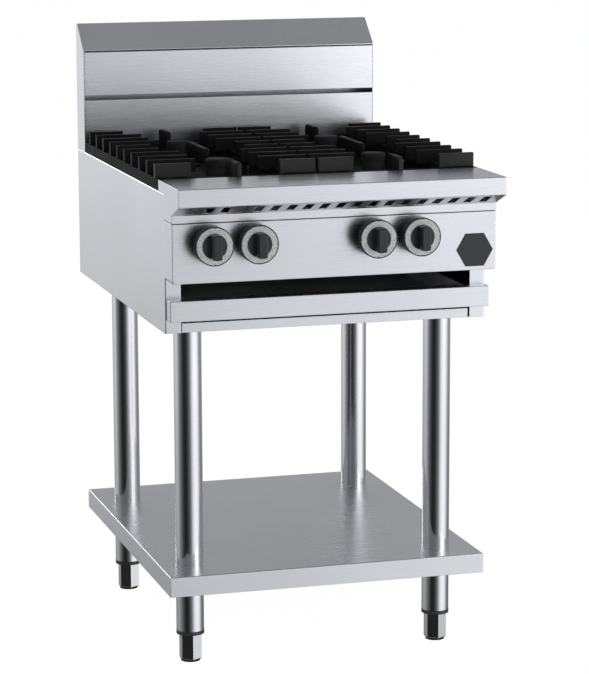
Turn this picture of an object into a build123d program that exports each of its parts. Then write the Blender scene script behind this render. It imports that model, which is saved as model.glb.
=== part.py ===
"""Four-burner gas boiling range on a tubular stand, with a flue upstand, a drip tray and an undershelf.

Millimetres. +Z is up, the controls face -Y, and the origin is on the floor under the middle of the footprint."""

import os
from math import atan2, cos, degrees, hypot

from build123d import *

os.makedirs("parts", exist_ok=True)

# Overall sizes
WIDTH = 600.0
DEPTH = 840.0
HOB_Z = 900.0
TOTAL_Z = 1130.0
BODY_Z0 = 630.0
SIDE_TOP_Z = 880.0

# Sheet and named clearances
SHEET = 1.5
FOLD_R = 2.0
SEAM = 0.5
PANEL_SEAM = 1.2
REST_GAP = 0.2
SLIDE_GAP = 0.3
RUN_FIT = 0.05

# Front rail, control panel and side panels
RAIL_TALL = 32.0
RAIL_TOP_DEEP = 147.0
SLOPE_DROP = 20.0
PANEL_BACK = 51.0
PANEL_TOP_Z = 834.0
PANEL_TALL = 107.0
SIDE_BACK = 108.0
FLANGE = 29.0
TOP_FLANGE = 20.0
SLOT_COUNT = 19
SLOT_PITCH = 29.9
SLOT_WIDE = 15.0
SLOT_LONG = 40.0
PANEL_CORNER_R = 5.0

# Knobs and taps
KNOB_XS = (-233.0, -152.0, 66.0, 147.0)
KNOB_Z = 797.0
KNOB_R = 34.5
KNOB_REACH = 40.0
KNOB_DEEP = 14.0
KNOB_LIP = 3.0
KNOB_GROOVE = 0.8
GRIP_EDGE_R = 2.5
RING_OUT_R = 32.5
RING_IN_R = 22.5
RING_THICK = 1.2
RING_NOTCH = 2.4
GRIP_WIDE = 17.0
GRIP_OUT = 23.0
BEZEL_R = 24.0
BEZEL_OUT = 16.0
SPINDLE_R = 4.0
SPINDLE_HOLE_R = 7.0
PLUG_R = 8.0
PLUG_LONG = 30.0
TAP_R = 15.0
TAP_LONG = 46.0
TAP_BACK = 9.0
TAP_NECK_WALL = 4.0
PUSH = 4.0

# Gas pipework
MANIFOLD_R = 11.0
MANIFOLD_DROP = 34.0
TUBE_R = 4.0
PIPE_R = 8.5
INLET_R = 10.5
INLET_LONG = 26.0
INLET_FLANGE_R = 30.0
INLET_FLANGE = 3.0
INLET_X = 258.0

# Hob, burners and trivets
RIM = 23.5
RIM_FRONT = 18.0
WELL_DEEP = 32.0
DECK_SHEET = 2.0
RIB_HALF = 14.0
BURNER_X = 150.0
BURNER_PITCH = 305.0
BURNER_FROM_FRONT = 306.0
COLUMN_R = 21.0
CAP_R = 23.0
CAP_TALL = 15.0
BURNER_FLANGE_R = 46.0
DECK_HOLE_R = 30.0
VENTURI_R = 14.0
VENTURI_DROP = 66.0
VENTURI_LONG = 80.0
PILOT_R = 3.0
BAR_TALL = 24.5
BAR_THICK = 10.0
BARS_PER_BURNER = 5
BAR_SHORT = 66.0
BAR_LONG = 89.0
BAR_TOP_R = 1.2
FINGER_WIDE = 10.0
FINGER_REACH = 146.0
FINGER_GAP = 80.0
FINGER_TOP_R = 2.5
FINGER_END_R = 7.0
TRIVET_GAP = 6.0
TRIVET_AHEAD = 12.0
SPINE_WIDE = 10.0
SPINE_OVERLAP = 4.0
SPINE_DROP = 10.0
TIE_WIDE = 8.0
TIE_DROP = 3.0

# Flue upstand
FLUE_DEEP = 67.0
FLUE_SLOPE_Z = 1081.0
FLUE_TOP_DEEP = 12.0
FLUE_SLOT_Z = 982.0
FLUE_SLOT_TALL = 9.0
PANEL_LIP = 15.0

# Drip tray
TRAY_RAIL_TALL = 36.7
TRAY_RAIL_Z = 655.0
TRAY_RAIL_OUT = 30.0
TRAY_RAIL_INSET = 2.2
TRAY_HALF = 262.0
TRAY_LONG = 640.0
TRAY_TALL = 34.0
TRAY_SHEET = 1.2
RUNNER_THICK = 2.0
TRIM_TALL = 16.9

# Stand
LEG_X = 238.5
LEG_FRONT = 194.5
LEG_PITCH = 513.0
LEG_R = 25.5
LEG_WALL = 1.5
LEG_Z0 = 59.0
COLLAR_TALL = 7.0
COLLAR_R = 25.8
PLUG_TALL = 26.0
SOCKET_TALL = 30.0
FOOT_FLATS = 37.0
FOOT_BASE_TALL = 4.0
FOOT_BASE_IN = 0.5
FOOT_TURN = 30.0
STEM_R = 8.0
SHELF_HALF = 298.5
SHELF_FRONT = 95.5
SHELF_LONG = 706.5
SHELF_Z = 186.0
SHELF_EDGE = 36.5

# Badge and screws
BADGE_X = 259.5
BADGE_Z = 764.0
BADGE_WIDE = 68.5
BADGE_THICK = 2.0
SCREW_R = 2.0
SCREW_HEAD_R = 4.5
SCREW_HEAD = 2.0
SCREW_LONG = 6.0

# The knob grips stand ahead of the rail, so the footprint's middle is half of that ahead of the body's
HALF_W = WIDTH / 2
GRIP_AHEAD = KNOB_REACH + GRIP_OUT - PANEL_BACK
FRONT = (GRIP_AHEAD - DEPTH) / 2
BACK = (GRIP_AHEAD + DEPTH) / 2
PANEL_Y = FRONT + PANEL_BACK
SIDE_Y = FRONT + SIDE_BACK
HOB_Y = FRONT + RAIL_TOP_DEEP
FLUE_Y = BACK - FLUE_DEEP
PANEL_Z0 = PANEL_TOP_Z - PANEL_TALL
DECK_Z = HOB_Z - WELL_DEEP
BURNER_YS = (FRONT + BURNER_FROM_FRONT, FRONT + BURNER_FROM_FRONT + BURNER_PITCH)
BURNERS = [(x, y) for y in BURNER_YS for x in (-BURNER_X, BURNER_X)]
LEG_YS = (FRONT + LEG_FRONT, FRONT + LEG_FRONT + LEG_PITCH)
LEGS = [(x, y) for y in LEG_YS for x in (-LEG_X, LEG_X)]
CORNERS = ("front_left", "front_right", "rear_left", "rear_right")


def block(x0, x1, y0, y1, z0, z1):
    """Box between two corners."""
    return Pos((x0 + x1) / 2, (y0 + y1) / 2, (z0 + z1) / 2) * Box(x1 - x0, y1 - y0, z1 - z0)


def rod_z(x, y, r, z0, z1):
    """Upright cylinder."""
    return Pos(x, y, (z0 + z1) / 2) * Cylinder(r, z1 - z0)


def rod_y(x, z, r, y0, y1):
    """Cylinder along Y."""
    return Pos(x, (y0 + y1) / 2, z) * Rot(90, 0, 0) * Cylinder(r, y1 - y0)


def rod_x(y, z, r, x0, x1):
    """Cylinder along X."""
    return Pos((x0 + x1) / 2, y, z) * Rot(0, 90, 0) * Cylinder(r, x1 - x0)


def side_profile(points, x0, x1):
    """Prism along X from (y, z) points."""
    face = Plane.YZ.offset(x0) * make_face(Polyline([(y, z) for y, z in points], close=True))
    return extrude(face, amount=x1 - x0, dir=(1, 0, 0))


def edges_at(shape, along, **planes):
    """Edges along one axis that lie on the given planes, such as X=3.0 and Z=8.0."""
    found = shape.edges().filter_by(along)
    for letter, value in planes.items():
        found = found.filter_by_position(getattr(Axis, letter), value - SLIDE_GAP, value + SLIDE_GAP)
    return found


def save(name, *solids):
    """Write one node."""
    shape = solids[0] if len(solids) == 1 else Compound(children=list(solids))
    export_step(shape, f"parts/{name}.step")


def mirrored(shape):
    """The same piece on the other side of the middle."""
    return mirror(shape, about=Plane.YZ)


# Side panels: sheet folded in at the front, the top and the back
BACK_Y = BACK - SHEET
side = block(-HALF_W, -HALF_W + SHEET, SIDE_Y, BACK, BODY_Z0, SIDE_TOP_Z)
side += block(-HALF_W, -HALF_W + FLANGE, SIDE_Y, SIDE_Y + SHEET, BODY_Z0, SIDE_TOP_Z)
side += block(-HALF_W, -HALF_W + TOP_FLANGE, SIDE_Y, BACK_Y, SIDE_TOP_Z - SHEET, SIDE_TOP_Z)
side += block(-HALF_W, -HALF_W + TOP_FLANGE, BACK_Y - SHEET, BACK_Y, BODY_Z0, SIDE_TOP_Z)
side_folds = edges_at(side, Axis.Y, X=-HALF_W, Z=SIDE_TOP_Z) + edges_at(side, Axis.Z, X=-HALF_W, Y=SIDE_Y)
side = fillet(side_folds, FOLD_R)
SCREW_ZS = [BODY_Z0 + 30 + 63 * i for i in range(4)]
SCREW_X = HALF_W - 10
for z in SCREW_ZS:
    side -= rod_y(-SCREW_X, z, SCREW_R + RUN_FIT, BACK_Y - 2 * SHEET, BACK)
save("side_panel_left", side)
save("side_panel_right", mirrored(side))

# Back panel between the side panels, with a hole for the gas inlet
INLET_Z = KNOB_Z - MANIFOLD_DROP
back = block(-HALF_W + SHEET + SEAM, HALF_W - SHEET - SEAM, BACK_Y, BACK, BODY_Z0, SIDE_TOP_Z)
back -= rod_y(INLET_X, INLET_Z, 2 * INLET_R, BACK_Y - 1, BACK + 1)
for x in (-SCREW_X, SCREW_X):
    for z in SCREW_ZS:
        back -= rod_y(x, z, SCREW_R + RUN_FIT, BACK_Y - 1, BACK + 1)
VENT_ZS = [BODY_Z0 + 16 + 8 * i for i in range(5)]
for z in VENT_ZS:
    back -= block(-60, 60, BACK_Y - 1, BACK + 1, z - 2.5, z + 2.5)
save("back_panel", back)

# Panel screws
screws = []
for x in (-SCREW_X, SCREW_X):
    for z in SCREW_ZS:
        shank = rod_y(x, z, SCREW_R, BACK - SHEET - SCREW_LONG, BACK - SHEET)
        head = rod_y(x, z, SCREW_R, BACK - SHEET, BACK)
        screws.append(shank + head)
save("panel_screws", *screws)

# Base panel and lower trim
TRIM_HALF = HALF_W - FLANGE - 2
TRIM_Y = SIDE_Y + 2 * SHEET
BASE_HALF = HALF_W - SHEET - SEAM
base = block(-BASE_HALF, BASE_HALF, TRIM_Y + SHEET, BACK_Y - SHEET - SEAM, BODY_Z0, BODY_Z0 + SHEET)
save("base_panel", base)
trim = block(-TRIM_HALF, TRIM_HALF, TRIM_Y, TRIM_Y + SHEET, BODY_Z0, BODY_Z0 + TRIM_TALL)
trim += block(-TRIM_HALF, TRIM_HALF, TRIM_Y, TRIM_Y + PANEL_LIP, BODY_Z0 + SHEET, BODY_Z0 + 2 * SHEET)
trim += block(
    -TRIM_HALF, TRIM_HALF, TRIM_Y, TRIM_Y + PANEL_LIP, BODY_Z0 + TRIM_TALL - SHEET, BODY_Z0 + TRIM_TALL
)
save("lower_trim", trim)

# Front rail: folded sheet with a slotted underside
RAIL_Z0 = HOB_Z - RAIL_TALL
SLOPE_Z = RAIL_Z0 - SLOPE_DROP
outline = [
    (FRONT, HOB_Z),
    (FRONT, RAIL_Z0),
    (PANEL_Y, SLOPE_Z),
    (PANEL_Y, PANEL_TOP_Z),
    (SIDE_Y - SLIDE_GAP, PANEL_TOP_Z),
    (SIDE_Y - SLIDE_GAP, SIDE_TOP_Z),
    (HOB_Y, SIDE_TOP_Z),
    (HOB_Y, HOB_Z),
]
hollow = [
    (FRONT + SHEET, HOB_Z - SHEET),
    (FRONT + SHEET, RAIL_Z0 + SHEET),
    (PANEL_Y + SHEET, SLOPE_Z + SHEET),
    (PANEL_Y + SHEET, PANEL_TOP_Z - SHEET),
    (HOB_Y + SHEET, PANEL_TOP_Z - SHEET),
    (HOB_Y + SHEET, HOB_Z - SHEET),
]
rail = side_profile(outline, -HALF_W, HALF_W)
rail = fillet(edges_at(rail, Axis.X, Y=FRONT), FOLD_R)
rail -= side_profile(hollow, -HALF_W + SHEET, HALF_W - SHEET)
SLOPE_TILT = degrees(atan2(SLOPE_DROP, PANEL_BACK))
for i in range(SLOT_COUNT):
    x = SLOT_PITCH * (i - (SLOT_COUNT - 1) / 2)
    cutter = Box(SLOT_WIDE, SLOT_LONG, 4 * SHEET)
    rail -= Pos(x, (FRONT + PANEL_Y) / 2, (RAIL_Z0 + SLOPE_Z) / 2) * Rot(-SLOPE_TILT, 0, 0) * cutter
save("front_rail", rail)

# Control panel: a shallow pan open at the back
panel_top = PANEL_TOP_Z - PANEL_SEAM
panel = block(-HALF_W, HALF_W, PANEL_Y, SIDE_Y - SLIDE_GAP, PANEL_Z0, panel_top)
panel = fillet(edges_at(panel, Axis.Y, Z=PANEL_Z0), PANEL_CORNER_R)
panel = fillet(panel.faces().sort_by(Axis.Y)[0].edges(), FOLD_R / 2)
panel -= block(
    -HALF_W + SHEET, HALF_W - SHEET, PANEL_Y + SHEET, SIDE_Y, PANEL_Z0 + SHEET, panel_top - SHEET
)
panel -= block(
    -HALF_W + FLANGE, HALF_W - FLANGE, PANEL_Y + 3 * PANEL_LIP, SIDE_Y, PANEL_Z0 - 1, panel_top + 1
)
for x in KNOB_XS:
    panel -= rod_y(x, KNOB_Z, SPINDLE_HOLE_R, PANEL_Y - 1, PANEL_Y + SHEET + 1)
save("control_panel", panel)

# Plain hexagonal badge
badge_face = Plane.XZ.offset(-PANEL_Y) * Pos(BADGE_X, BADGE_Z) * RegularPolygon(BADGE_WIDE / 2, 6)
save("badge", extrude(badge_face, amount=BADGE_THICK, dir=(0, -1, 0)))

# Knobs, their rings and spindles, and the taps behind the panel
KNOB_Y = PANEL_Y - KNOB_REACH
KNOB_BACK = KNOB_Y + KNOB_DEEP
PLUG_Y0 = PANEL_Y + SHEET + TAP_BACK
TAP_Y0 = PLUG_Y0 - 2
TAP_Y1 = TAP_Y0 + TAP_LONG
taps = []
bezels = []
for n, x in enumerate(KNOB_XS, 1):
    skirt = rod_y(x, KNOB_Z, KNOB_R, KNOB_Y, KNOB_Y + KNOB_LIP)
    skirt += rod_y(x, KNOB_Z, KNOB_R - KNOB_GROOVE, KNOB_Y, KNOB_BACK)
    skirt += rod_y(x, KNOB_Z, KNOB_R, KNOB_Y + 2 * KNOB_LIP, KNOB_BACK)
    recess = rod_y(x, KNOB_Z, RING_OUT_R, KNOB_Y - 1, KNOB_Y + RING_THICK)
    recess -= rod_y(x, KNOB_Z, RING_IN_R, KNOB_Y - 1, KNOB_Y + RING_THICK)
    grip = rod_y(x, KNOB_Z, RING_IN_R - 0.5, KNOB_Y - GRIP_OUT, KNOB_Y)
    grip = fillet(grip.edges().group_by(Axis.Y)[0], GRIP_EDGE_R)
    bar = block(x - GRIP_WIDE / 2, x + GRIP_WIDE / 2, KNOB_Y - GRIP_OUT, KNOB_Y, 0, TOTAL_Z)
    grip &= fillet(bar.edges().filter_by(Axis.Z).group_by(Axis.Y)[0], GRIP_EDGE_R)
    knob = skirt - recess + grip
    knob -= rod_y(x, KNOB_Z, SPINDLE_R, KNOB_Y + RING_THICK, KNOB_BACK + 1)
    save(f"knob_{n}", knob)
    ring = rod_y(x, KNOB_Z, RING_OUT_R, KNOB_Y, KNOB_Y + RING_THICK)
    ring -= rod_y(x, KNOB_Z, RING_IN_R, KNOB_Y - 1, KNOB_Y + RING_THICK + 1)
    for turn in range(0, 360, 90):
        notch = Pos(RING_OUT_R, 0, 0) * Box(RING_NOTCH, RING_NOTCH, 4 * RING_THICK)
        ring -= Pos(x, KNOB_Y, KNOB_Z) * Rot(90, 0, 0) * Rot(0, 0, turn) * notch
    save(f"knob_ring_{n}", ring)
    save(f"tap_spindle_{n}", rod_y(x, KNOB_Z, SPINDLE_R, KNOB_Y + RING_THICK, PLUG_Y0 + PLUG_LONG / 3))
    plug = rod_y(x, KNOB_Z, PLUG_R, PLUG_Y0, PLUG_Y0 + PLUG_LONG)
    plug -= rod_y(x, KNOB_Z, SPINDLE_R + RUN_FIT, PLUG_Y0 - 1, PLUG_Y0 + PLUG_LONG / 3 + 2 * PUSH)
    save(f"tap_plug_{n}", plug)
    tap = rod_y(x, KNOB_Z, TAP_R, TAP_Y0, TAP_Y1)
    tap += rod_y(x, KNOB_Z, SPINDLE_HOLE_R + TAP_NECK_WALL, PANEL_Y + SHEET, TAP_Y0)
    tap -= rod_y(x, KNOB_Z, SPINDLE_HOLE_R, PANEL_Y, TAP_Y0)
    tap -= rod_y(x, KNOB_Z, PLUG_R + RUN_FIT, TAP_Y0 - 1, PLUG_Y0 + PLUG_LONG + SLIDE_GAP)
    taps.append(tap)
    bezel = rod_y(x, KNOB_Z, BEZEL_R, PANEL_Y - BEZEL_OUT, PANEL_Y)
    bezel -= rod_y(x, KNOB_Z, SPINDLE_HOLE_R, PANEL_Y - BEZEL_OUT - 1, PANEL_Y + 1)
    bezels.append(bezel)
save("tap_bodies", *taps)
save("knob_bezels", *bezels)

# Gas manifold under the taps, and the inlet pipe to the back
TAP_MID_Y = (TAP_Y0 + TAP_Y1) / 2
MANIFOLD_X0 = KNOB_XS[0] - 25
manifold = rod_x(TAP_MID_Y, INLET_Z, MANIFOLD_R, MANIFOLD_X0, INLET_X - MANIFOLD_R - 2)
for x in KNOB_XS:
    riser = rod_z(x, TAP_MID_Y, MANIFOLD_R - 3, INLET_Z, KNOB_Z)
    manifold += riser - rod_y(x, KNOB_Z, TAP_R, TAP_Y0, TAP_Y1)
save("gas_manifold", manifold)
inlet = rod_y(INLET_X, INLET_Z, PIPE_R, TAP_MID_Y - MANIFOLD_R, BACK)
inlet += rod_y(INLET_X, INLET_Z, INLET_R, BACK - INLET_LONG, BACK)
inlet += rod_x(TAP_MID_Y, INLET_Z, MANIFOLD_R + 3, INLET_X - MANIFOLD_R - 2, INLET_X + MANIFOLD_R)
inlet += rod_y(INLET_X, INLET_Z, INLET_FLANGE_R, BACK - INLET_LONG - INLET_FLANGE, BACK - INLET_LONG)
save("gas_inlet", inlet)

# Supply tubes from the taps to the burners' mixing tubes
VENTURI_Z = DECK_Z - VENTURI_DROP
ROUTES = ((0, 2), (1, 0), (2, 3), (3, 1))
tubes = []
for knob_index, burner_index in ROUTES:
    x = KNOB_XS[knob_index]
    bx, by = BURNERS[burner_index]
    mouth = by - VENTURI_LONG
    turn_y = mouth - 20
    tube = rod_y(x, KNOB_Z, TUBE_R, TAP_Y1, turn_y)
    tube += Pos(x, turn_y, KNOB_Z) * Sphere(TUBE_R)
    tube += rod_x(turn_y, KNOB_Z, TUBE_R, min(x, bx), max(x, bx))
    tube += Pos(bx, turn_y, KNOB_Z) * Sphere(TUBE_R)
    tube += rod_z(bx, turn_y, TUBE_R, KNOB_Z, VENTURI_Z)
    tube += Pos(bx, turn_y, VENTURI_Z) * Sphere(TUBE_R)
    tube += rod_y(bx, VENTURI_Z, TUBE_R, turn_y, mouth + 6)
    tube += rod_y(bx, VENTURI_Z, TUBE_R + 3, mouth - 6, mouth + 6)
    tubes.append(tube)
save("supply_tubes", *tubes)

# Hob deck: rim, well, middle rib and burner holes
HOB_X = HALF_W - SEAM
WELL_X = HALF_W - RIM
hob = block(-HOB_X, HOB_X, HOB_Y, FLUE_Y, SIDE_TOP_Z, HOB_Z)
hob += block(
    -WELL_X + SEAM,
    WELL_X - SEAM,
    HOB_Y + RIM_FRONT - 1,
    FLUE_Y - RIM_FRONT + 1,
    DECK_Z - DECK_SHEET,
    SIDE_TOP_Z,
)
WELL_Y0 = HOB_Y + RIM_FRONT + 1
WELL_Y1 = FLUE_Y - RIM_FRONT - 1
for side_sign in (-1, 1):
    near = side_sign * RIB_HALF
    far = side_sign * (WELL_X - DECK_SHEET)
    hob -= block(min(near, far), max(near, far), WELL_Y0, WELL_Y1, DECK_Z, HOB_Z + 1)
    inner = side_sign * (WELL_X + DECK_SHEET)
    outer = side_sign * (HOB_X - DECK_SHEET)
    hob -= block(
        min(inner, outer), max(inner, outer), HOB_Y + DECK_SHEET, FLUE_Y - DECK_SHEET, 0, HOB_Z - DECK_SHEET
    )
for y0 in (HOB_Y + DECK_SHEET, FLUE_Y - RIM_FRONT + DECK_SHEET):
    hob -= block(-WELL_X, WELL_X, y0, y0 + RIM_FRONT - 2 * DECK_SHEET, 0, HOB_Z - DECK_SHEET)
rib_x = RIB_HALF - DECK_SHEET
hob -= block(-rib_x, rib_x, WELL_Y0, WELL_Y1, 0, HOB_Z - DECK_SHEET)
for x, y in BURNERS:
    hob -= rod_z(x, y, DECK_HOLE_R, 0, HOB_Z)
save("hob_deck", hob)

# Burners: column with a mixing tube, a lift-off cap and a pilot
CAP_Z = HOB_Z + REST_GAP
pilots = []
for name, (x, y) in zip(CORNERS, BURNERS):
    burner = rod_z(x, y, COLUMN_R, VENTURI_Z, HOB_Z)
    burner += rod_z(x, y, BURNER_FLANGE_R, DECK_Z, DECK_Z + 4)
    burner += rod_z(x, y, COLUMN_R + 4, DECK_Z + 4, DECK_Z + 10)
    burner += Pos(x, y, VENTURI_Z) * Sphere(COLUMN_R)
    burner += rod_y(x, VENTURI_Z, VENTURI_R, y - VENTURI_LONG, y)
    burner -= rod_y(x, VENTURI_Z, VENTURI_R - 3, y - VENTURI_LONG - 1, y)
    burner -= rod_z(x, y, COLUMN_R - 4, VENTURI_Z, HOB_Z + 1)
    save(f"burner_{name}", burner)
    cap = rod_z(x, y, CAP_R, CAP_Z, CAP_Z + CAP_TALL)
    cap = fillet(cap.edges().group_by(Axis.Z)[-1], 4)
    spigot = rod_z(x, y, COLUMN_R - 4.5, CAP_Z - 8, CAP_Z)
    spigot -= rod_z(x, y, COLUMN_R - 7, CAP_Z - 9, CAP_Z)
    cap += spigot
    for turn in range(0, 360, 30):
        port = Pos(CAP_R, 0, 0) * Box(7, 2, 3)
        cap -= Pos(x, y, CAP_Z + 2.5) * Rot(0, 0, turn) * port
    save(f"burner_cap_{name}", cap)
    pilot = rod_z(x + BURNER_FLANGE_R + 9, y - 12, PILOT_R + 3, DECK_Z, DECK_Z + 6)
    pilot += rod_z(x + BURNER_FLANGE_R + 9, y - 12, PILOT_R, DECK_Z, HOB_Z)
    pilots.append(pilot)
save("pilots", *pilots)

# Trivets: side combs and centre fingers, joined by spines and ties that hang in the well
BAR_Z0 = HOB_Z + REST_GAP
BAR_Z1 = BAR_Z0 + BAR_TALL
BAR_PITCH = BURNER_PITCH / BARS_PER_BURNER
BAR_ROWS = 2 * BARS_PER_BURNER
TRIVET_IN = TRIVET_GAP / 2
TRIVET_MID = (HALF_W + TRIVET_IN) / 2
FIRST_BAR_Y = BURNER_YS[0] - 2 * BAR_PITCH - TRIVET_AHEAD
LAST_BAR_Y = FIRST_BAR_Y + (BAR_ROWS - 1) * BAR_PITCH
SPINE_Z0 = HOB_Z - SPINE_DROP
TIE_Z1 = HOB_Z - TIE_DROP


def comb_bar(row):
    """One comb bar on each side of a right-hand trivet."""
    reach = BAR_SHORT if row % BARS_PER_BURNER in (0, BARS_PER_BURNER - 1) else BAR_LONG
    y = FIRST_BAR_Y + row * BAR_PITCH
    outer = block(HALF_W - reach, HALF_W, y, y + BAR_THICK, BAR_Z0, BAR_Z1)
    inner = block(TRIVET_IN, TRIVET_IN + reach, y, y + BAR_THICK, BAR_Z0, BAR_Z1)
    outer = fillet(outer.edges().filter_by(Axis.X).group_by(Axis.Z)[-1], BAR_TOP_R)
    inner = fillet(inner.edges().filter_by(Axis.X).group_by(Axis.Z)[-1], BAR_TOP_R)
    return outer + inner


def finger(y0, y1, root_y):
    """Centre finger with rounded upper edges, and its root down to the tie."""
    bar = block(-FINGER_WIDE / 2, FINGER_WIDE / 2, y0, y1, BAR_Z0, BAR_Z1)
    bar = fillet(bar.edges().filter_by(Axis.X).group_by(Axis.Z)[-1], FINGER_END_R)
    bar = fillet(bar.edges().filter_by(Axis.Y).group_by(Axis.Z)[-1], FINGER_TOP_R)
    bar += block(-FINGER_WIDE / 2, FINGER_WIDE / 2, root_y, root_y + TIE_WIDE, SPINE_Z0, BAR_Z0 + SPINE_OVERLAP)
    return Pos(TRIVET_MID, 0, 0) * bar


trivet = comb_bar(0)
for row in range(1, BAR_ROWS):
    trivet += comb_bar(row)
SPINE_XS = (TRIVET_IN + BAR_SHORT - SPINE_WIDE, HALF_W - BAR_SHORT)
for x in SPINE_XS:
    trivet += block(
        x, x + SPINE_WIDE, FIRST_BAR_Y, LAST_BAR_Y + BAR_THICK, SPINE_Z0, BAR_Z0 + SPINE_OVERLAP
    )
FRONT_FINGER_Y = BURNER_YS[0] - TRIVET_AHEAD
REAR_FINGER_Y = BURNER_YS[1] - TRIVET_AHEAD
MID_TIE_Y = (FRONT_FINGER_Y + REAR_FINGER_Y - TIE_WIDE) / 2
LAST_TIE_Y = LAST_BAR_Y + BAR_THICK - TIE_WIDE
trivet += finger(FRONT_FINGER_Y - FINGER_REACH, FRONT_FINGER_Y - FINGER_GAP, FIRST_BAR_Y)
trivet += finger(FRONT_FINGER_Y + FINGER_GAP, REAR_FINGER_Y - FINGER_GAP, MID_TIE_Y)
trivet += finger(REAR_FINGER_Y + FINGER_GAP, REAR_FINGER_Y + FINGER_REACH, LAST_TIE_Y)
for y in (FIRST_BAR_Y, MID_TIE_Y, LAST_TIE_Y):
    trivet += block(SPINE_XS[0], SPINE_XS[1] + SPINE_WIDE, y, y + TIE_WIDE, SPINE_Z0, TIE_Z1)
save("trivet_right", trivet)
save("trivet_left", mirrored(trivet))

# Flue upstand: shell with a sloped head, and two front panels with the outlet slot between them
slope_run = FLUE_DEEP - FLUE_TOP_DEEP
slope_rise = TOTAL_Z - FLUE_SLOPE_Z
slope_sheet = SHEET * hypot(slope_run, slope_rise) / slope_run
flue_outline = [
    (FLUE_Y, SIDE_TOP_Z),
    (FLUE_Y, FLUE_SLOPE_Z),
    (BACK - FLUE_TOP_DEEP, TOTAL_Z),
    (BACK, TOTAL_Z),
    (BACK, SIDE_TOP_Z),
]
flue_hollow = [
    (FLUE_Y - 1, SIDE_TOP_Z - 1),
    (FLUE_Y - 1, FLUE_SLOPE_Z - slope_sheet - slope_rise / slope_run),
    (BACK - FLUE_TOP_DEEP, TOTAL_Z - slope_sheet),
    (BACK - SHEET, TOTAL_Z - slope_sheet),
    (BACK - SHEET, SIDE_TOP_Z - 1),
]
flue = side_profile(flue_outline, -HALF_W, HALF_W)
flue -= side_profile(flue_hollow, -HALF_W + SHEET, HALF_W - SHEET)
save("flue_shell", flue)
FLUE_HALF = HALF_W - SHEET - SEAM
FLUE_SLOT_TOP = FLUE_SLOT_Z + FLUE_SLOT_TALL
FLUE_PANEL_TOP = FLUE_SLOPE_Z - slope_sheet - SEAM - SHEET
lower = block(-FLUE_HALF, FLUE_HALF, FLUE_Y, FLUE_Y + SHEET, SIDE_TOP_Z, FLUE_SLOT_Z)
lower += block(-FLUE_HALF, FLUE_HALF, FLUE_Y, FLUE_Y + PANEL_LIP, FLUE_SLOT_Z - SHEET, FLUE_SLOT_Z)
save("flue_lower_panel", lower)
upper = block(-FLUE_HALF, FLUE_HALF, FLUE_Y, FLUE_Y + SHEET, FLUE_SLOT_TOP, FLUE_PANEL_TOP)
upper += block(-FLUE_HALF, FLUE_HALF, FLUE_Y, FLUE_Y + PANEL_LIP, FLUE_SLOT_TOP, FLUE_SLOT_TOP + SHEET)
save("flue_upper_panel", upper)

# Drip tray with its front rail, on two runners
RAIL_HALF = HALF_W - TRAY_RAIL_INSET
TRAY_RAIL_Y = SIDE_Y - TRAY_RAIL_OUT
TRAY_RAIL_TOP = TRAY_RAIL_Z + TRAY_RAIL_TALL
tray_rail = block(-RAIL_HALF, RAIL_HALF, TRAY_RAIL_Y, SIDE_Y - SLIDE_GAP, TRAY_RAIL_Z, TRAY_RAIL_TOP)
tray_rail = fillet(tray_rail.faces().sort_by(Axis.Y)[0].edges(), FOLD_R / 2)
tray_rail -= block(
    -RAIL_HALF + SHEET,
    RAIL_HALF - SHEET,
    TRAY_RAIL_Y + SHEET,
    SIDE_Y,
    TRAY_RAIL_Z - 1,
    TRAY_RAIL_TOP - SHEET,
)
save("tray_front_rail", tray_rail)
TRAY_Y0 = TRAY_RAIL_Y + SHEET
TRAY_Z1 = TRAY_RAIL_TOP - SHEET
TRAY_Z0 = TRAY_Z1 - TRAY_TALL
tray = block(-TRAY_HALF, TRAY_HALF, TRAY_Y0, TRAY_Y0 + TRAY_LONG, TRAY_Z0, TRAY_Z1)
tray -= block(
    -TRAY_HALF + TRAY_SHEET,
    TRAY_HALF - TRAY_SHEET,
    TRAY_Y0 + TRAY_SHEET,
    TRAY_Y0 + TRAY_LONG - TRAY_SHEET,
    TRAY_Z0 + TRAY_SHEET,
    TRAY_Z1 + 1,
)
save("drip_tray", tray)
RUNNER_X0 = -HALF_W + SHEET
RUNNER_TOP = TRAY_Z0 - SLIDE_GAP
RUNNER_BASE = RUNNER_TOP - RUNNER_THICK
RUNNER_Y1 = TRAY_Y0 + TRAY_LONG
runner = block(RUNNER_X0, -TRAY_HALF + 12, TRIM_Y, RUNNER_Y1, RUNNER_BASE, RUNNER_TOP)
runner += block(RUNNER_X0, RUNNER_X0 + RUNNER_THICK, TRIM_Y, RUNNER_Y1, RUNNER_BASE, TRAY_Z1)
save("tray_runner_left", runner)
save("tray_runner_right", mirrored(runner))

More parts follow.
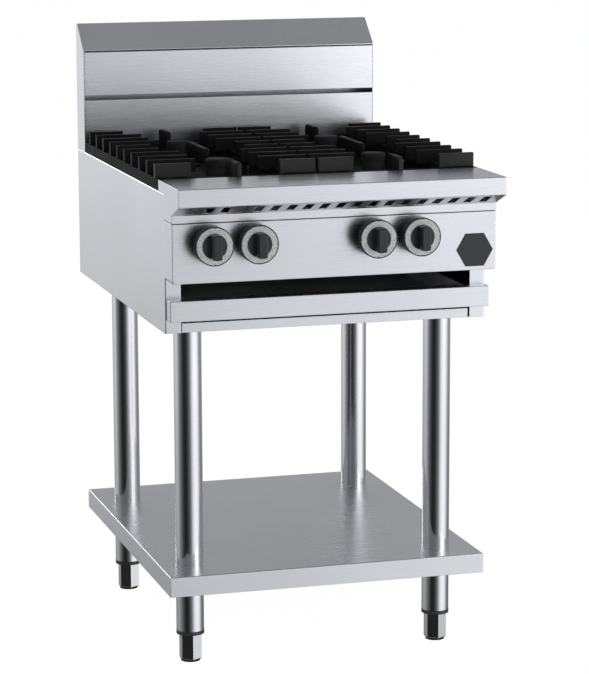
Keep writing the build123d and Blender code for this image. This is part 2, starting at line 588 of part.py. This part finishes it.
# Stand: legs, sockets, undershelf, collars and adjustable feet
BORE_R = LEG_R - LEG_WALL
COLLAR_Z0 = LEG_Z0 - COLLAR_TALL
STEM_TOP = LEG_Z0 + PLUG_TALL - 6
FOOT_TOP = COLLAR_Z0 - SLIDE_GAP
sockets = []
collars = []
SHELF_Y0 = FRONT + SHELF_FRONT
SHELF_Y1 = SHELF_Y0 + SHELF_LONG
shelf = block(-SHELF_HALF, SHELF_HALF, SHELF_Y0, SHELF_Y1, SHELF_Z - SHELF_EDGE, SHELF_Z)
shelf = fillet(shelf.faces().sort_by(Axis.Z)[-1].edges(), FOLD_R)
shelf -= block(
    -SHELF_HALF + SHEET,
    SHELF_HALF - SHEET,
    SHELF_Y0 + SHEET,
    SHELF_Y1 - SHEET,
    SHELF_Z - SHELF_EDGE - 1,
    SHELF_Z - SHEET,
)
for name, (x, y) in zip(CORNERS, LEGS):
    leg = rod_z(x, y, LEG_R, LEG_Z0, BODY_Z0) - rod_z(x, y, BORE_R, LEG_Z0 - 1, BODY_Z0 + 1)
    save(f"leg_{name}", leg)
    sockets.append(rod_z(x, y, BORE_R - RUN_FIT, BODY_Z0 - SOCKET_TALL, BODY_Z0))
    collar = rod_z(x, y, COLLAR_R, COLLAR_Z0, LEG_Z0)
    collar += rod_z(x, y, BORE_R - RUN_FIT, LEG_Z0, LEG_Z0 + PLUG_TALL)
    collar -= rod_z(x, y, STEM_R + RUN_FIT, COLLAR_Z0 - 1, LEG_Z0 + PLUG_TALL + 1)
    collars.append(collar)
    shelf -= rod_z(x, y, LEG_R + RUN_FIT, 0, SHELF_Z + 1)
    hexagon = RegularPolygon(FOOT_FLATS / 2, 6, major_radius=False, rotation=FOOT_TURN)
    foot = extrude(Pos(x, y, FOOT_BASE_TALL) * hexagon, amount=FOOT_TOP - FOOT_BASE_TALL, dir=(0, 0, 1))
    foot += rod_z(x, y, FOOT_FLATS / 2 - FOOT_BASE_IN, 0, FOOT_BASE_TALL)
    foot += rod_z(x, y, STEM_R, FOOT_TOP, STEM_TOP)
    save(f"foot_{name}", foot)
save("leg_sockets", *sockets)
save("leg_collars", *collars)
save("undershelf", shelf)
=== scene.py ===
"""Studio scene of the open-burner gas range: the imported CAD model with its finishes, lights and camera."""

import math

import bpy
from mathutils import Matrix, Vector

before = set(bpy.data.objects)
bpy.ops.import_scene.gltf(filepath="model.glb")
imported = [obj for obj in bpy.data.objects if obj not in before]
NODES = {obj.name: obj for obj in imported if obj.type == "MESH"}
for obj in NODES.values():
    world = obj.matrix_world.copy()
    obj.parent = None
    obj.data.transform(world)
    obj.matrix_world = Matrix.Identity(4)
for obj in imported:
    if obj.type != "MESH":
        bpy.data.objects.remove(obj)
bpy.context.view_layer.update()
CORNERS = ("front_left", "front_right", "rear_left", "rear_right")

# Where most of a noise's values lie
NOISE_LOW, NOISE_HIGH = 0.3, 0.7
# How a noise is squeezed along each axis: evenly, or into the grain of brushed metal
EVEN = (1, 1, 1)
ALONG_X = (6, 900, 900)
ALONG_Y = (900, 6, 900)
ALONG_Z = (900, 900, 6)
# A foot is black up to this height, in metres
BASE_BLACK = (0.012, 0.012, 0.013, 1)
BASE_TOP = 0.005
BASE_BLUR = 0.0004
# The trivets' specular level falls between these places along Y, in metres: a painted sheen on the front row and
# painted shade on the rows behind
PAINTED_SHEEN_FROM, PAINTED_SHEEN_TO = -0.239, -0.225
PAINTED_SHEEN_FRONT, PAINTED_SHADE_SHEEN_REST = 0.50, 0.10
# Sockets of a Mix node that share their names
FLOAT_A, FLOAT_B, COLOR_A, COLOR_B, COLOR_OUT = 2, 3, 6, 7, 2


# ---------------------------------------------------------------- materials
def new_material(name, color, metallic, roughness):
    """Principled material with plain first values."""
    mat = bpy.data.materials.new(name)
    mat.use_nodes = True
    tree = mat.node_tree
    shader = tree.nodes["Principled BSDF"]
    shader.inputs["Base Color"].default_value = (*color, 1)
    shader.inputs["Metallic"].default_value = metallic
    shader.inputs["Roughness"].default_value = roughness
    return mat, tree, shader


def noise(tree, scale, stretch, detail):
    """Noise in object space, stretched along the grain."""
    where = tree.nodes.new("ShaderNodeTexCoord")
    mapping = tree.nodes.new("ShaderNodeMapping")
    mapping.inputs["Scale"].default_value = stretch
    tree.links.new(where.outputs["Object"], mapping.inputs["Vector"])
    made = tree.nodes.new("ShaderNodeTexNoise")
    made.inputs["Scale"].default_value = scale
    made.inputs["Detail"].default_value = detail
    tree.links.new(mapping.outputs["Vector"], made.inputs["Vector"])
    return made.outputs["Fac"]


def grade(tree, source, places, smooth=False):
    """Maps a source between two places to two levels: (from, to, level from, level to)."""
    made = tree.nodes.new("ShaderNodeMapRange")
    made.interpolation_type = "SMOOTHSTEP" if smooth else "LINEAR"
    for name, value in zip(("From Min", "From Max", "To Min", "To Max"), places):
        made.inputs[name].default_value = value
    tree.links.new(source, made.inputs["Value"])
    return made.outputs["Result"]


def vary(tree, source, low, high):
    """Maps a noise to a range."""
    return grade(tree, source, (NOISE_LOW, NOISE_HIGH, low, high))


def tint(tree, source, stops):
    """Colour ramp over a noise."""
    made = tree.nodes.new("ShaderNodeValToRGB")
    ramp = made.color_ramp
    while len(ramp.elements) < len(stops):
        ramp.elements.new(0.5)
    for element, (place, color) in zip(ramp.elements, stops):
        element.position = place
        element.color = (*color, 1)
    tree.links.new(source, made.inputs["Fac"])
    return made.outputs["Color"]


def bump(tree, shader, source, strength, distance, edge=0.0):
    """Bump over a source, on edges rounded by a bevel radius if there is one."""
    made = tree.nodes.new("ShaderNodeBump")
    made.inputs["Strength"].default_value = strength
    made.inputs["Distance"].default_value = distance
    tree.links.new(source, made.inputs["Height"])
    if edge:
        round_edge = tree.nodes.new("ShaderNodeBevel")
        round_edge.samples = 6
        round_edge.inputs["Radius"].default_value = edge
        tree.links.new(round_edge.outputs["Normal"], made.inputs["Normal"])
    tree.links.new(made.outputs["Normal"], shader.inputs["Normal"])


def brushed_steel(name, color, roughness, grain, edge=0.0015):
    """Sheet stainless steel with a fine grain along one direction and faint cloudy variation."""
    mat, tree, shader = new_material(name, color, 1.0, roughness)
    fine = noise(tree, 1.0, grain, 4.0)
    cloud = noise(tree, 3.5, EVEN, 2.0)
    low = [c * 0.955 for c in color]
    high = [c * 1.03 for c in color]
    tree.links.new(tint(tree, cloud, [(NOISE_LOW, low), (NOISE_HIGH, high)]), shader.inputs["Base Color"])
    tree.links.new(vary(tree, fine, roughness - 0.035, roughness + 0.04), shader.inputs["Roughness"])
    bump(tree, shader, fine, 0.03, 0.0004, edge)
    return mat


def object_place(tree, letter):
    """Place along one axis of the object's own space."""
    where = tree.nodes.new("ShaderNodeTexCoord")
    split = tree.nodes.new("ShaderNodeSeparateXYZ")
    tree.links.new(where.outputs["Object"], split.inputs[0])
    return split.outputs[letter]


def paint_front_row_sheen(mat):
    """Painted sheen on the front row and painted shade on the rows behind: the specular level is higher on the
    front row than on the rest.
    """
    tree = mat.node_tree
    painted_sheen = grade(tree, object_place(tree, "Y"), (PAINTED_SHEEN_FROM, PAINTED_SHEEN_TO, PAINTED_SHEEN_FRONT, PAINTED_SHADE_SHEEN_REST))
    tree.links.new(painted_sheen, tree.nodes["Principled BSDF"].inputs["Specular IOR Level"])


def blacken_base(mat):
    """Black band at the bottom of a foot, in object space."""
    tree = mat.node_tree
    shader = tree.nodes["Principled BSDF"]
    above = grade(tree, object_place(tree, "Z"), (BASE_TOP - BASE_BLUR, BASE_TOP + BASE_BLUR, 0.0, 1.0))
    mixed = tree.nodes.new("ShaderNodeMix")
    mixed.data_type = "RGBA"
    mixed.inputs[COLOR_A].default_value = BASE_BLACK
    tree.links.new(shader.inputs["Base Color"].links[0].from_socket, mixed.inputs[COLOR_B])
    tree.links.new(above, mixed.inputs["Factor"])
    tree.links.new(mixed.outputs[COLOR_OUT], shader.inputs["Base Color"])
    tree.links.new(above, shader.inputs["Metallic"])
    shader.inputs["Specular IOR Level"].default_value = 0.1


def cast_finish(name, color, roughness, grain_scale, strength, edge, specular):
    """Black enamelled casting: fine orange peel, mottled gloss and dustier patches."""
    mat, tree, shader = new_material(name, color, 0.0, roughness)
    shader.inputs["Specular IOR Level"].default_value = specular
    fine = noise(tree, grain_scale, EVEN, 5.0)
    cloud = noise(tree, 9.0, EVEN, 3.0)
    low = [c * 0.7 for c in color]
    high = [c * 1.5 for c in color]
    tree.links.new(tint(tree, cloud, [(NOISE_LOW, low), (0.72, high)]), shader.inputs["Base Color"])
    tree.links.new(vary(tree, cloud, roughness - 0.08, roughness + 0.1), shader.inputs["Roughness"])
    bump(tree, shader, fine, strength, 0.0008, edge)
    return mat


def plastic(name, color, roughness):
    """Moulded plastic with a fine spark-eroded texture."""
    mat, tree, shader = new_material(name, color, 0.0, roughness)
    fine = noise(tree, 900.0, EVEN, 2.0)
    cloud = noise(tree, 30.0, EVEN, 2.0)
    high = [c * 1.35 for c in color]
    tree.links.new(tint(tree, cloud, [(NOISE_LOW, color), (0.75, high)]), shader.inputs["Base Color"])
    tree.links.new(vary(tree, cloud, roughness - 0.04, roughness + 0.06), shader.inputs["Roughness"])
    bump(tree, shader, fine, 0.08, 0.0002, 0.0008)
    return mat


def speckled_ring(name):
    """Silver scale ring with fine dark flecks."""
    mat, tree, shader = new_material(name, (0.6, 0.6, 0.6), 0.55, 0.42)
    fleck = noise(tree, 700.0, EVEN, 1.0)
    stops = [(0.36, (0.16, 0.16, 0.16)), (0.5, (0.47, 0.475, 0.48)), (0.7, (0.66, 0.665, 0.67))]
    tree.links.new(tint(tree, fleck, stops), shader.inputs["Base Color"])
    bump(tree, shader, fleck, 0.06, 0.0002)
    return mat


steel_x = brushed_steel("stainless_across", (0.78, 0.797, 0.825), 0.28, ALONG_X)
steel_y = brushed_steel("stainless_lengthwise", (0.77, 0.787, 0.815), 0.20, ALONG_Y)
tube_steel = brushed_steel("polished_tube", (0.66, 0.67, 0.69), 0.12, ALONG_Z, 0.0005)
foot_steel = brushed_steel("foot_steel", (0.60, 0.61, 0.63), 0.14, ALONG_Z, 0.0008)
bright_steel = brushed_steel("bright_fastener", (0.62, 0.62, 0.64), 0.24, (300, 300, 300), 0.0003)
zinc = brushed_steel("zinc_pipe", (0.50, 0.50, 0.52), 0.38, (40, 40, 40), 0.0005)
tube_alu = brushed_steel("drawn_aluminium", (0.72, 0.73, 0.74), 0.30, (60, 60, 60), 0.0003)
brass = brushed_steel("machined_brass", (0.66, 0.47, 0.18), 0.28, (500, 60, 500), 0.0005)
trivet_iron = cast_finish("trivet_enamelled_iron", (0.005, 0.005, 0.0053), 0.50, 420.0, 0.30, 0.0012, PAINTED_SHADE_SHEEN_REST)
burner_iron = cast_finish("burner_iron", (0.012, 0.012, 0.0125), 0.62, 300.0, 0.45, 0.0008, 0.25)
cap_iron = cast_finish("cap_enamelled_iron", (0.009, 0.009, 0.0095), 0.60, 420.0, 0.35, 0.0008, 0.25)
deck_enamel = cast_finish("deck_enamel", (0.011, 0.0115, 0.013), 0.50, 160.0, 0.10, 0.0015, 0.02)
tray_enamel = cast_finish("tray_enamel", (0.17, 0.18, 0.19), 0.55, 160.0, 0.10, 0.0005, 0.30)
knob_plastic = plastic("knob_plastic", (0.008, 0.0085, 0.0092), 0.32)
collar_plastic = plastic("collar_plastic", (0.015, 0.015, 0.016), 0.42)
badge_paint = plastic("badge_lacquer", (0.010, 0.0115, 0.014), 0.38)
ring_finish = speckled_ring("knob_ring_silver")
# Painted sheen on the trivets' front row, painted shade on the rows behind
paint_front_row_sheen(trivet_iron)
chrome_foot = brushed_steel("foot_chrome", (0.74, 0.75, 0.77), 0.10, ALONG_Z, 0.0006)
blacken_base(chrome_foot)

FINISH = {
    steel_x: (
        "back_panel base_panel lower_trim front_rail control_panel flue_shell flue_lower_panel flue_upper_panel "
        "tray_front_rail undershelf"
    ),
    steel_y: "side_panel_left side_panel_right tray_runner_left tray_runner_right",
    tube_steel: " ".join("leg_" + c for c in CORNERS),
    chrome_foot: " ".join("foot_" + c for c in CORNERS),
    foot_steel: "leg_sockets",
    tray_enamel: "drip_tray",
    bright_steel: "panel_screws pilots " + " ".join(f"tap_spindle_{n}" for n in range(1, 5)),
    zinc: "gas_manifold gas_inlet",
    tube_alu: "supply_tubes",
    brass: "tap_bodies " + " ".join(f"tap_plug_{n}" for n in range(1, 5)),
    trivet_iron: "trivet_left trivet_right",
    burner_iron: " ".join("burner_" + c for c in CORNERS),
    cap_iron: " ".join("burner_cap_" + c for c in CORNERS),
    deck_enamel: "hob_deck",
    knob_plastic: " ".join(f"knob_{n}" for n in range(1, 5)) + " knob_bezels",
    collar_plastic: "leg_collars",
    badge_paint: "badge",
    ring_finish: " ".join(f"knob_ring_{n}" for n in range(1, 5)),
}
for mat, names in FINISH.items():
    for name in names.split():
        for slot in NODES[name].material_slots:
            slot.material = mat

# ---------------------------------------------------------------- floor, lights and camera
FLOOR_HALF = 40.0
floor_corners = [(x * FLOOR_HALF, y * FLOOR_HALF, 0) for x, y in ((-1, -1), (1, -1), (1, 1), (-1, 1))]
floor_mesh = bpy.data.meshes.new("floor")
floor_mesh.from_pydata(floor_corners, [], [(0, 1, 2, 3)])
floor = bpy.data.objects.new("floor", floor_mesh)
bpy.context.scene.collection.objects.link(floor)
floor_mat, tree, shader = new_material("lit_floor_paper", (0.05, 0.05, 0.05), 0.0, 1.0)
shader.inputs["Specular IOR Level"].default_value = 0.0
shader.inputs["Emission Color"].default_value = (1, 1, 1, 1)
shader.inputs["Emission Strength"].default_value = 0.98
floor_mesh.materials.append(floor_mat)
floor.visible_glossy = False


def feed(tree, sockets, values):
    """Gives each socket its number or source."""
    for socket, value in zip(sockets, values):
        if isinstance(value, float):
            socket.default_value = value
        else:
            tree.links.new(value, socket)


def maths(tree, operation, a, b):
    """One sum on two numbers or sources."""
    made = tree.nodes.new("ShaderNodeMath")
    made.operation = operation
    feed(tree, made.inputs, (a, b))
    return made.outputs[0]


def blend(tree, factor, a, b):
    """Mix of two numbers or sources."""
    made = tree.nodes.new("ShaderNodeMix")
    made.data_type = "FLOAT"
    feed(tree, (made.inputs["Factor"], made.inputs[FLOAT_A], made.inputs[FLOAT_B]), (factor, a, b))
    return made.outputs[0]


# A studio of soft screens: a wide bright one at the right front, a dark flag at the left front, a pale one behind.
# Each row is an azimuth in degrees, 0 at the front and 90 on the right, and a brightness.
SCREENS = (
    (-180, 0.90), (-167, 0.95), (-127, 1.40), (-114, 1.34), (-103, 0.90), (-92, 0.42), (-80, 0.22), (-66, 0.09),
    (-50, 0.028), (-36, 0.024), (-22, 0.055), (-8, 0.15), (5, 0.38), (16, 0.92), (26, 1.36), (42, 1.6), (54, 1.6),
    (68, 1.34), (80, 0.98), (92, 0.68), (110, 0.58), (132, 0.66), (160, 0.80), (180, 0.90),
)
BRIGHTEST = 1.6
world = bpy.data.worlds.new("studio")
bpy.context.scene.world = world
world.use_nodes = True
sky = world.node_tree
backdrop = sky.nodes["Background"]
where = sky.nodes.new("ShaderNodeTexCoord")
split = sky.nodes.new("ShaderNodeSeparateXYZ")
sky.links.new(where.outputs["Generated"], split.inputs[0])
x, y, z = split.outputs
turn = maths(sky, "DIVIDE", maths(sky, "ARCTAN2", x, maths(sky, "MULTIPLY", y, -1.0)), 2 * math.pi)
around = sky.nodes.new("ShaderNodeValToRGB")
while len(around.color_ramp.elements) < len(SCREENS):
    around.color_ramp.elements.new(0.5)
for element, (degree, level) in zip(around.color_ramp.elements, SCREENS):
    element.position = degree / 360 + 0.5
    level /= BRIGHTEST
    element.color = (level, level, level, 1)
sky.links.new(maths(sky, "ADD", turn, 0.5), around.inputs["Fac"])
screens = maths(sky, "MULTIPLY", around.outputs["Color"], BRIGHTEST)
behind = grade(sky, y, (-0.3, 0.3, 0.0, 1.0))
front_fall = grade(sky, z, (-0.45, -0.10, 0.60, 1.0))
back_fall = maths(
    sky, "MULTIPLY", grade(sky, z, (-0.28, -0.10, 0.30, 0.84)), grade(sky, z, (-0.55, -0.28, 0.50, 1.0))
)
screens = maths(sky, "MULTIPLY", screens, blend(sky, behind, front_fall, back_fall))
ceiling = grade(sky, z, (0.15, 0.9, 0.39, 0.28))
# The ceiling starts higher in front than behind
lowered = maths(sky, "SUBTRACT", z, grade(sky, behind, (0.0, 1.0, 0.20, 0.0)))
level = blend(sky, grade(sky, lowered, (0.0, 0.17, 0.0, 1.0), smooth=True), screens, ceiling)
seen = sky.nodes.new("ShaderNodeLightPath")
sky.links.new(blend(sky, seen.outputs["Is Camera Ray"], level, 1.0), backdrop.inputs["Strength"])
backdrop.inputs["Color"].default_value = (0.985, 0.995, 1.02, 1)


def soft_light(name, at, to, size, radiance, glossy=True):
    """Rectangular soft light of a given radiance, unseen by the camera."""
    data = bpy.data.lights.new(name, "AREA")
    data.shape = "RECTANGLE"
    data.size, data.size_y = size
    data.energy = radiance * math.pi * size[0] * size[1]
    lamp = bpy.data.objects.new(name, data)
    turned = (Vector(to) - Vector(at)).to_track_quat("-Z", "Y").to_matrix().to_4x4()
    lamp.matrix_world = Matrix.Translation(at) @ turned
    lamp.visible_camera = False
    lamp.visible_glossy = glossy
    bpy.context.scene.collection.objects.link(lamp)


soft_light("rim_strip", (-1.35, 6.0, 1.95), (-0.3, 0, 0.7), (1.9, 1.3), 3.0)
soft_light("right_screen", (1.9, -2.0, 1.45), (0.2, 0.2, 0.9), (1.5, 1.4), 1.7)
soft_light("front_fill", (-1.2, -4.3, 1.5), (0, 0, 0.75), (0.8, 0.8), 40.0, glossy=False)

CAMERA_AT = (-1.4036, -4.9162, 1.5019)
YAW, PITCH, ROLL = 16.229, 10.504, 0.18
camera_data = bpy.data.cameras.new("camera")
camera_data.sensor_fit = "HORIZONTAL"
camera_data.sensor_width = 36.0
camera_data.lens = 166.2
camera_data.clip_end = 200
camera = bpy.data.objects.new("camera", camera_data)
aim = Matrix.Rotation(math.radians(-YAW), 4, "Z")
aim @= Matrix.Rotation(math.radians(90 - PITCH), 4, "X")
aim @= Matrix.Rotation(math.radians(-ROLL), 4, "Z")
camera.matrix_world = Matrix.Translation(CAMERA_AT) @ aim
bpy.context.scene.collection.objects.link(camera)
bpy.context.scene.camera = camera
bpy.context.scene.view_settings.view_transform = "Standard"
